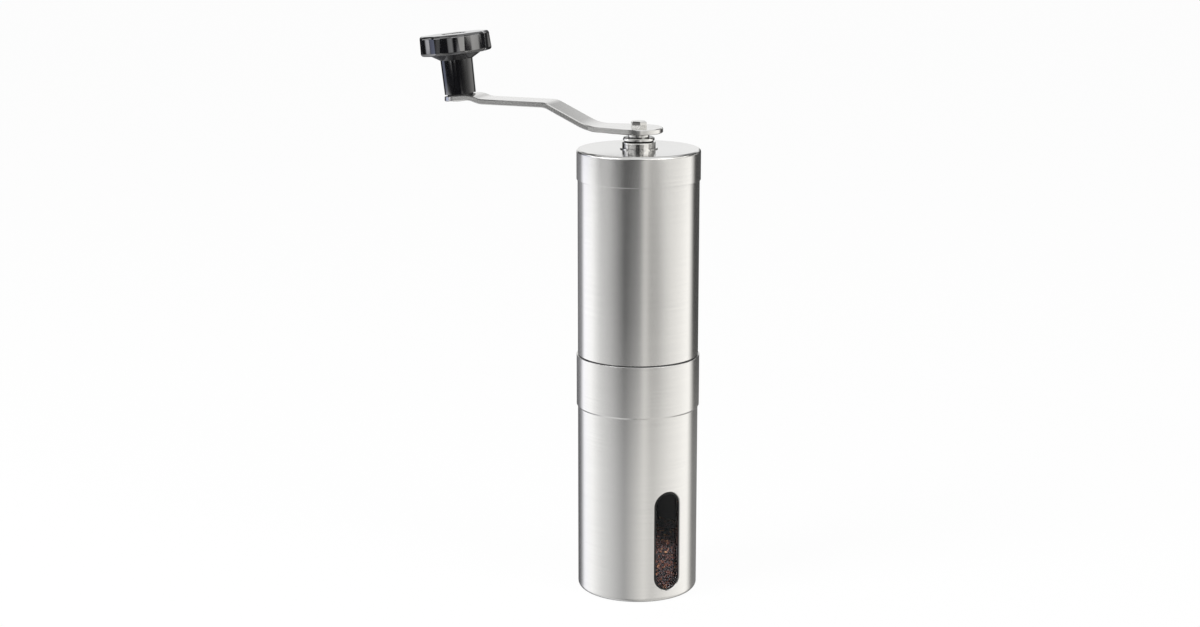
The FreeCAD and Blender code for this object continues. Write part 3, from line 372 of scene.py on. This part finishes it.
def paint_groove_shade(material):
    """Paints shade into the bush's colour where it lies nearer its axis than the groove's radius.
    """
    tree = material.node_tree
    shader = tree.nodes["Principled BSDF"]
    place = add(tree, "ShaderNodeTexCoord")
    flat = add(tree, "ShaderNodeVectorMath", operation="MULTIPLY")
    flat.inputs[1].default_value = (1, 1, 0)
    join(tree, place, "Object", flat, 0)
    reach = add(tree, "ShaderNodeVectorMath", operation="LENGTH")
    join(tree, flat, "Vector", reach, 0)
    # Painted shade: the colour falls to a small share inside the groove's radius
    outside = add(
        tree, "ShaderNodeMapRange",
        From_Min=GROOVE_RADIUS, From_Max=GROOVE_RADIUS * GROOVE_EDGE, To_Min=GROOVE_PAINTED_SHADE,
    )
    join(tree, reach, "Value", outside, "Value")
    shaded = add(tree, "ShaderNodeVectorMath", operation="SCALE")
    tree.links.new(shader.inputs["Base Color"].links[0].from_socket, shaded.inputs[0])
    join(tree, outside, "Result", shaded, "Scale")
    join(tree, shaded, "Vector", shader, "Base Color")


def moulded(name, dark, pale, smooth, rough, depth, fineness=GRAIN_FINENESS, gloss=0.5, index=1.5):
    """Plastic, rubber or ceramic with a fine grain."""
    material, tree, shader = new_material(name)
    grain = add(tree, "ShaderNodeGroup", node_tree=GRAIN)
    grain.inputs["Fineness"].default_value = fineness
    shader.inputs["Specular IOR Level"].default_value = gloss
    shader.inputs["IOR"].default_value = index
    uneven(tree, shader, grain, "Patch", dark, pale)
    roughness = spread(tree, grain, "Patch", smooth, rough)
    join(tree, roughness, "Result", shader, "Roughness")
    raised(tree, shader, grain, "Grain", depth)
    return material


def clear_plastic():
    """Clear moulded pane with a faint waviness, which lets light through to the coffee."""
    material, tree, shader = new_material("Clear pane")
    shader.inputs["Base Color"].default_value = PANE_COLOUR
    shader.inputs["Transmission Weight"].default_value = 1.0
    shader.inputs["IOR"].default_value = PANE_INDEX
    grain = add(tree, "ShaderNodeGroup", node_tree=GRAIN)
    grain.inputs["Fineness"].default_value = PANE_WAVES
    roughness = spread(tree, grain, "Patch", *PANE_ROUGHNESS)
    join(tree, roughness, "Result", shader, "Roughness")
    raised(tree, shader, grain, "Grain", PANE_WAVE_DEPTH)
    path = add(tree, "ShaderNodeLightPath")
    through = add(tree, "ShaderNodeBsdfTransparent")
    show_instead(tree, path, "Is Shadow Ray", shader, through)
    return material


def coffee():
    """Roasted ground coffee: nearly black bits with reddish brown ones among them."""
    material, tree, shader = new_material("Ground coffee")
    place = add(tree, "ShaderNodeTexCoord")
    bits = add(tree, "ShaderNodeTexVoronoi", Scale=BIT_FINENESS)
    join(tree, place, "Object", bits, "Vector")
    parts = add(tree, "ShaderNodeSeparateColor")
    join(tree, bits, "Color", parts, "Color")
    browns = ramp(tree, BROWNS)
    join(tree, parts, "Red", browns, "Fac")
    join(tree, browns, "Color", shader, "Base Color")
    roughness = spread(tree, parts, "Green", *BIT_ROUGHNESS)
    join(tree, roughness, "Result", shader, "Roughness")
    raised(tree, shader, bits, "Distance", BIT_DEPTH)
    return material


def make_finishes():
    """Makes every finish of the grinder and gives it to its nodes."""
    tube = steel(
        "Brushed steel", dark=(0.68, 0.675, 0.665), pale=(0.74, 0.735, 0.72),
        smooth=0.18, rough=0.27, brushed=0.55, depth=0.0000004,
    )
    lid = steel(
        "Lid steel", dark=(0.69, 0.685, 0.675), pale=(0.75, 0.745, 0.73),
        smooth=0.17, rough=0.26, brushed=0.55, depth=0.0000003, top_share=0.6,
    )
    satin = steel(
        "Satin steel", dark=(0.76, 0.755, 0.74), pale=(0.82, 0.815, 0.80),
        smooth=0.14, rough=0.24,
    )
    bush = steel(
        "Polished steel", dark=(0.74, 0.735, 0.72), pale=(0.79, 0.785, 0.77),
        smooth=0.05, rough=0.12,
    )
    # Painted shade in the groove of the bush
    paint_groove_shade(bush)
    shaft = steel(
        "Turned steel", dark=(0.62, 0.615, 0.60), pale=(0.72, 0.715, 0.70),
        smooth=0.06, rough=0.12,
    )
    spring = steel(
        "Spring steel", dark=(0.42, 0.42, 0.43), pale=(0.52, 0.52, 0.53),
        smooth=0.2, rough=0.35, depth=0.000001,
    )
    brass = steel(
        "Brass", dark=(0.60, 0.43, 0.17), pale=(0.72, 0.53, 0.24),
        smooth=0.2, rough=0.34, depth=0.000002,
    )
    black = moulded(
        "Black plastic", dark=(0.012, 0.012, 0.013), pale=(0.020, 0.020, 0.022),
        smooth=0.42, rough=0.6, depth=0.00002,
    )
    knob = moulded(
        "Gloss black", dark=(0.002, 0.002, 0.003), pale=(0.004, 0.004, 0.005),
        smooth=0.05, rough=0.10, depth=0.0000005, fineness=2500.0, gloss=1.0, index=1.75,
    )
    rubber = moulded(
        "Black rubber", dark=(0.008, 0.008, 0.008), pale=(0.014, 0.014, 0.014),
        smooth=0.55, rough=0.75, depth=0.00002, gloss=0.3,
    )
    acetal = moulded(
        "Bearing plastic", dark=(0.68, 0.66, 0.60), pale=(0.75, 0.73, 0.67),
        smooth=0.3, rough=0.45, depth=0.00001,
    )
    ceramic = moulded(
        "Fired ceramic", dark=(0.74, 0.72, 0.67), pale=(0.84, 0.82, 0.78),
        smooth=0.5, rough=0.7, depth=0.00003, fineness=2600.0,
    )
    finishes = {
        tube: ["chamber_shell", "hopper_tube"],
        lid: ["lid_shell"],
        satin: ["crank_arm"],
        bush: ["lid_bush"],
        shaft: ["drive_shaft", "knob_pin"],
        spring: [
            "burr_retainer", "thrust_washer", "spring_washer", "shaft_clip", "burr_spring",
            "bush_ring", "pin_nut",
        ],
        brass: ["dial_nut"],
        black: [
            "chamber_liner", "burr_housing", "shaft_bridge", "burr_core", "grind_dial",
            "lid_plug", "knob_washer",
        ],
        knob: ["knob_grip", "knob_cap"],
        rubber: ["window_seal"],
        acetal: ["lower_bush", "upper_bush"],
        ceramic: ["outer_burr", "inner_burr"],
        clear_plastic(): ["window_pane"],
    }
    for material, names in finishes.items():
        for name in names:
            nodes[name].data.materials.clear()
            nodes[name].data.materials.append(material)


def select_lowest_faces(piece):
    """Selects the faces that lie at the piece's lowest level, and gives that level."""
    bpy.ops.object.mode_set(mode="EDIT")
    bpy.ops.mesh.select_all(action="DESELECT")
    bpy.ops.object.mode_set(mode="OBJECT")
    points = piece.data.vertices
    lowest = min(point.co.z for point in points)
    for face in piece.data.polygons:
        face.select = all(points[index].co.z < lowest + LEVEL_SLACK for index in face.vertices)
    return lowest


def break_up(piece, label, kind, size, depth):
    """Roughens a piece's surface with a solid texture of a given size and depth."""
    texture = bpy.data.textures.new(label, kind)
    texture.noise_scale = size
    broken = piece.modifiers.new(label, "DISPLACE")
    broken.texture = texture
    broken.texture_coords = "LOCAL"
    broken.mid_level = 1.0
    broken.strength = depth
    bpy.ops.object.modifier_apply(modifier=broken.name)


def make_ground_coffee():
    """The heap behind the pane: a low cone on a round block, meshed and broken into grains."""
    low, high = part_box("coffee_grounds")
    radius = (high.x - low.x) / 2
    middle = high.z - HEAP_RISE / 2 - HEAP_SETTLE
    bpy.ops.mesh.primitive_cone_add(
        vertices=HEAP_SIDES, radius1=radius, radius2=radius * HEAP_TIP_SHARE, depth=HEAP_RISE,
        location=(0, 0, middle),
    )
    heap = bpy.context.object
    heap.name = "ground_coffee"
    lowest = select_lowest_faces(heap)
    bpy.ops.object.mode_set(mode="EDIT")
    drop = low.z - (middle + lowest)
    bpy.ops.mesh.extrude_region_move(TRANSFORM_OT_translate={"value": (0, 0, drop)})
    bpy.ops.object.mode_set(mode="OBJECT")
    bpy.ops.object.transform_apply(location=True, rotation=True, scale=True)
    remesh = heap.modifiers.new("Even mesh", "REMESH")
    remesh.mode = "VOXEL"
    remesh.voxel_size = GRAIN_MESH
    bpy.ops.object.modifier_apply(modifier=remesh.name)
    break_up(heap, "Grains", "VORONOI", GRAIN_SIZE, GRAIN_DEPTH)
    break_up(heap, "Lumps", "CLOUDS", LUMP_SIZE, LUMP_DEPTH)
    bpy.ops.object.shade_flat()
    heap.data.materials.append(coffee())
    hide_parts("coffee_grounds")
    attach(heap, "chamber")


def panels(tree, source, layout):
    """Panels round the wall, as a ramp along its turn."""
    made = ramp(tree, [
        (place, tuple(brightness * part for part in tint)) for place, brightness, tint in layout
    ])
    join(tree, source, "Fac", made, "Fac")
    return made.outputs["Color"]


def give_way(tree, height, limits, first, second):
    """One colour that gives way to another between two heights."""
    low, high = limits
    share = add(
        tree, "ShaderNodeMapRange", interpolation_type="SMOOTHSTEP", From_Min=low, From_Max=high,
    )
    join(tree, height, "Z", share, "Value")
    made = add(tree, "ShaderNodeMix", data_type="RGBA")
    join(tree, share, "Result", made, MIX_FACTOR)
    tree.links.new(first, made.inputs[MIX_BEFORE])
    tree.links.new(second, made.inputs[MIX_AFTER])
    return made.outputs[MIX_COLOUR]


def make_reflected_studio():
    """A closed round wall of soft and dark panels that only reflections see."""
    bpy.ops.mesh.primitive_cylinder_add(
        vertices=WALL_SIDES, radius=WALL_RADIUS, depth=WALL_TOP - WALL_LOW,
        location=(0, 0, (WALL_TOP + WALL_LOW) / 2),
    )
    wall = bpy.context.object
    wall.name = "studio_wall"
    bpy.ops.object.transform_apply(location=True, rotation=True, scale=True)
    material, tree, shader = new_material("Studio panels")
    tree.nodes.remove(shader)
    place = add(tree, "ShaderNodeTexCoord")
    turn = add(tree, "ShaderNodeMapping")
    turn.inputs["Rotation"].default_value = (0, 0, -TOWARDS_CAMERA)
    join(tree, place, "Object", turn, "Vector")
    round_wall = add(tree, "ShaderNodeTexGradient", gradient_type="RADIAL")
    join(tree, turn, "Vector", round_wall, "Vector")
    height = add(tree, "ShaderNodeSeparateXYZ")
    join(tree, place, "Object", height, "Vector")
    shade = panels(tree, round_wall, UNDER_PANELS)
    upwards = [
        (TABLE_LOW, TABLE_PANELS), (TUBE_LOW, TUBE_PANELS), (STEM_LOW, STEM_PANELS),
        (KNOB_LOW, KNOB_PANELS), (HEAD_LOW, HEAD_PANELS), (FLUTE_LOW, FLUTE_PANELS),
        (ABOVE_LOW, ABOVE_PANELS), (OVERHEAD_LOW, OVERHEAD_PANELS), (CEILING_LOW, CEILING_PANELS),
    ]
    for limits, layout in upwards:
        shade = give_way(tree, height, limits, shade, panels(tree, round_wall, layout))
    light = add(tree, "ShaderNodeEmission", Strength=1.0)
    tree.links.new(shade, light.inputs["Color"])
    join(tree, light, "Emission", tree.nodes["Material Output"], "Surface")
    wall.data.materials.append(material)
    wall.visible_camera = False
    wall.visible_diffuse = False
    wall.visible_transmission = False
    wall.visible_shadow = False


def make_floor():
    """A plain white floor that shows white and keeps a soft shadow."""
    bpy.ops.mesh.primitive_plane_add(size=FLOOR_SIZE, location=(0, 0, 0))
    floor = bpy.context.object
    floor.name = "studio_floor"
    material, tree, shader = new_material("White floor")
    shader.inputs["Base Color"].default_value = FLOOR_COLOUR
    shader.inputs["Roughness"].default_value = FLOOR_ROUGHNESS
    white = add(tree, "ShaderNodeEmission", Strength=WHITE_LEVEL)
    path = add(tree, "ShaderNodeLightPath")
    share = spread(tree, path, "Is Camera Ray", 0.0, FLOOR_WHITE_SHARE)
    show_instead(tree, share, "Result", shader, white)
    floor.data.materials.append(material)
    floor.visible_glossy = False


def make_world():
    """Surroundings that show white to the camera, in reflections and through the pane."""
    world = bpy.data.worlds.new("White surroundings")
    world.use_nodes = True
    bpy.context.scene.world = world
    tree = world.node_tree
    back = tree.nodes["Background"]
    path = add(tree, "ShaderNodeLightPath")
    seen = add(tree, "ShaderNodeMath", operation="MAXIMUM")
    join(tree, path, "Is Camera Ray", seen, 0)
    join(tree, path, "Is Glossy Ray", seen, 1)
    through = add(tree, "ShaderNodeMath", operation="MAXIMUM")
    join(tree, seen, "Value", through, 0)
    join(tree, path, "Is Transmission Ray", through, 1)
    level = spread(tree, through, "Value", WORLD_LIGHT, WHITE_LEVEL)
    join(tree, level, "Result", back, "Strength")
    back.inputs["Color"].default_value = (*PLAIN, 1.0)


def make_lamp(name, place, size, power):
    """A soft lamp turned towards the grinder."""
    data = bpy.data.lights.new(name, "AREA")
    data.shape = "RECTANGLE"
    data.size, data.size_y = size
    data.energy = power
    lamp = bpy.data.objects.new(name, data)
    bpy.context.scene.collection.objects.link(lamp)
    lamp.location = place
    lamp.rotation_euler = (Vector(LAMP_AIM) - Vector(place)).to_track_quat("-Z", "Y").to_euler()


def make_camera():
    """The photograph's viewpoint."""
    data = bpy.data.cameras.new("Camera")
    data.lens = CAMERA_LENS
    data.sensor_width = SENSOR_WIDTH
    camera = bpy.data.objects.new("Camera", data)
    bpy.context.scene.collection.objects.link(camera)
    camera.location = CAMERA_PLACE
    camera.rotation_euler = (math.radians(90) - CAMERA_PITCH, 0, CAMERA_TURN)
    bpy.context.scene.camera = camera


make_finishes()
make_ground_coffee()
make_reflected_studio()
make_floor()
make_world()
make_lamp("Key lamp", KEY_PLACE, KEY_SIZE, KEY_POWER)
make_lamp("Fill lamp", FILL_PLACE, FILL_SIZE, FILL_POWER)
make_camera()
bpy.context.scene.view_settings.view_transform = "Standard"
